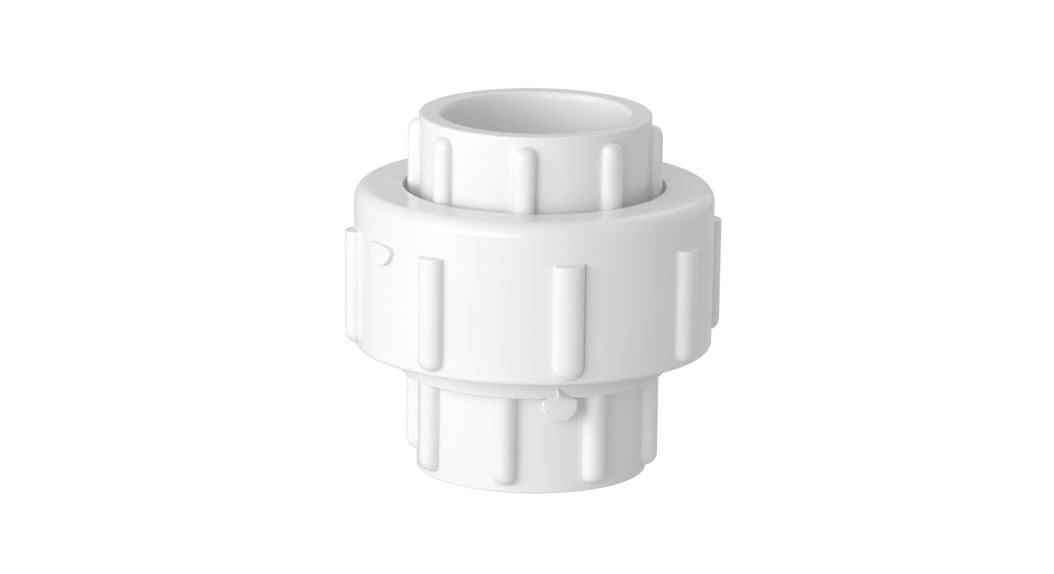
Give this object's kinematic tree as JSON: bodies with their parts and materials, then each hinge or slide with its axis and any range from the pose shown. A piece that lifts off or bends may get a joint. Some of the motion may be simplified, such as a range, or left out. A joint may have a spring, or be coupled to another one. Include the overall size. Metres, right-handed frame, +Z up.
{
  "type": "pipe union",
  "caption": "Plastic slip-socket pipe union: two ribbed pipe sockets drawn together by a ribbed coupling nut, with a rubber seal between them.",
  "frame": {"origin": "middle of the lower rim, on the pipe axis", "axes": "+Z up the pipe axis from the threaded body to the tail piece; -Y is the front"},
  "size_m": [0.0676, 0.0676, 0.065],
  "materials": {
    "white_pvc": "gloss moulded white rigid PVC",
    "seal_rubber": "satin black EPDM rubber"
  },
  "bodies": {
    "threaded_half": {"threaded_body": "white_pvc", "o_ring": "seal_rubber"},
    "tail": {"tail_piece": "white_pvc"},
    "nut": {"union_nut": "white_pvc"}
  },
  "joints": [
    {"name": "tail_lift", "type": "slide", "parent": "threaded_half", "child": "tail", "axis": [0, 0, 1], "range_m": [0, 0.016]},
    {"name": "nut_turn", "type": "hinge", "parent": "tail", "child": "nut", "pos_m": [0, 0, 0.0373], "axis": [0, 0, 1], "range_deg": [0, 1440]}
  ],
  "couplings": [
    {"joint": "tail_lift", "follows": "nut_turn", "m_per_rad": 0.0006366}
  ]
}
